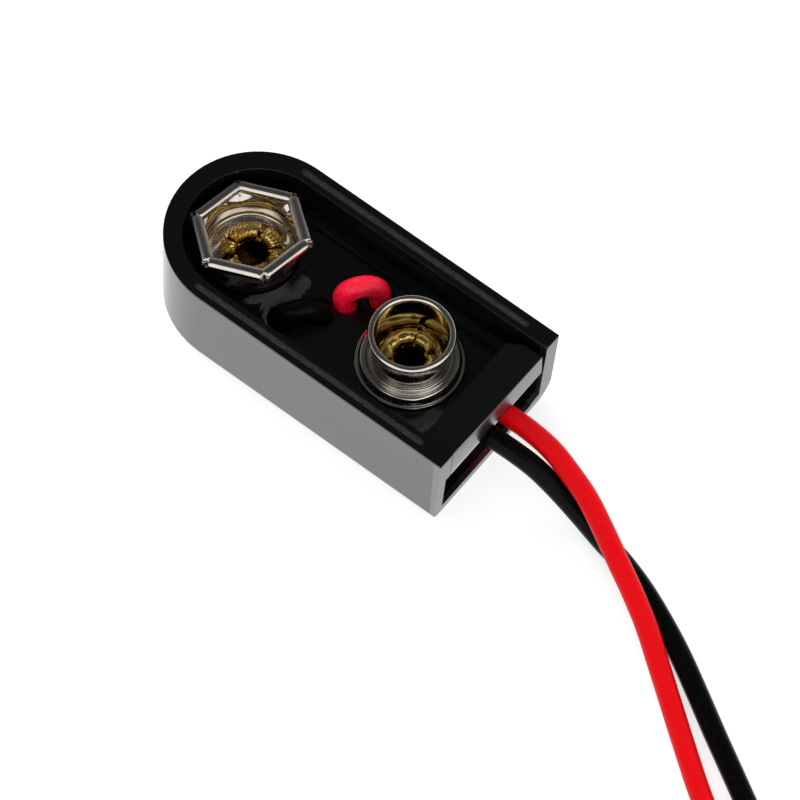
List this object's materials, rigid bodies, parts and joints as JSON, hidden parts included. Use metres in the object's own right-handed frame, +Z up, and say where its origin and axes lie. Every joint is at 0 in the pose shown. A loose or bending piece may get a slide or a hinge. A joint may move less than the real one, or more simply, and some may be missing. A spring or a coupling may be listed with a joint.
{
  "type": "battery snap connector",
  "caption": "Snap connector for a small block battery: a moulded cup with a hexagonal socket, a round stud and a red and a black lead.",
  "frame": {"origin": "under the middle of the cup, on the face that it stands on", "axes": "+X along the cup towards the leads, +Y across it, +Z up through the contacts"},
  "size_m": [0.0767, 0.0252, 0.0079],
  "materials": {
    "shell_plastic": "gloss black moulded plastic",
    "carrier_plastic": "satin black moulded plastic with scuffs",
    "nickel": "nickel-plated steel",
    "brass": "bright drawn brass",
    "tinned_brass": "tinned sheet",
    "red_insulation": "soft extruded insulation",
    "black_insulation": "soft extruded insulation",
    "tinned_copper": "twisted and tinned strands",
    "solder": "soldered fillet",
    "tie_plastic": "thin matte strip"
  },
  "bodies": {
    "root": {"shell": "shell_plastic", "carrier": "carrier_plastic", "hex_contact": "nickel", "stud_contact": "nickel", "hex_rivet": "brass", "stud_rivet": "brass", "hex_tag": "tinned_brass", "stud_tag": "tinned_brass", "red_inner_wire": "red_insulation", "black_inner_wire": "black_insulation", "red_bare_end": "tinned_copper", "black_bare_end": "tinned_copper", "red_solder": "solder", "black_solder": "solder", "red_lead": "red_insulation", "black_lead": "black_insulation", "red_coil": "red_insulation", "black_coil": "black_insulation", "red_tip": "tinned_copper", "black_tip": "tinned_copper", "lead_tie": "tie_plastic"}
  },
  "joints": []
}
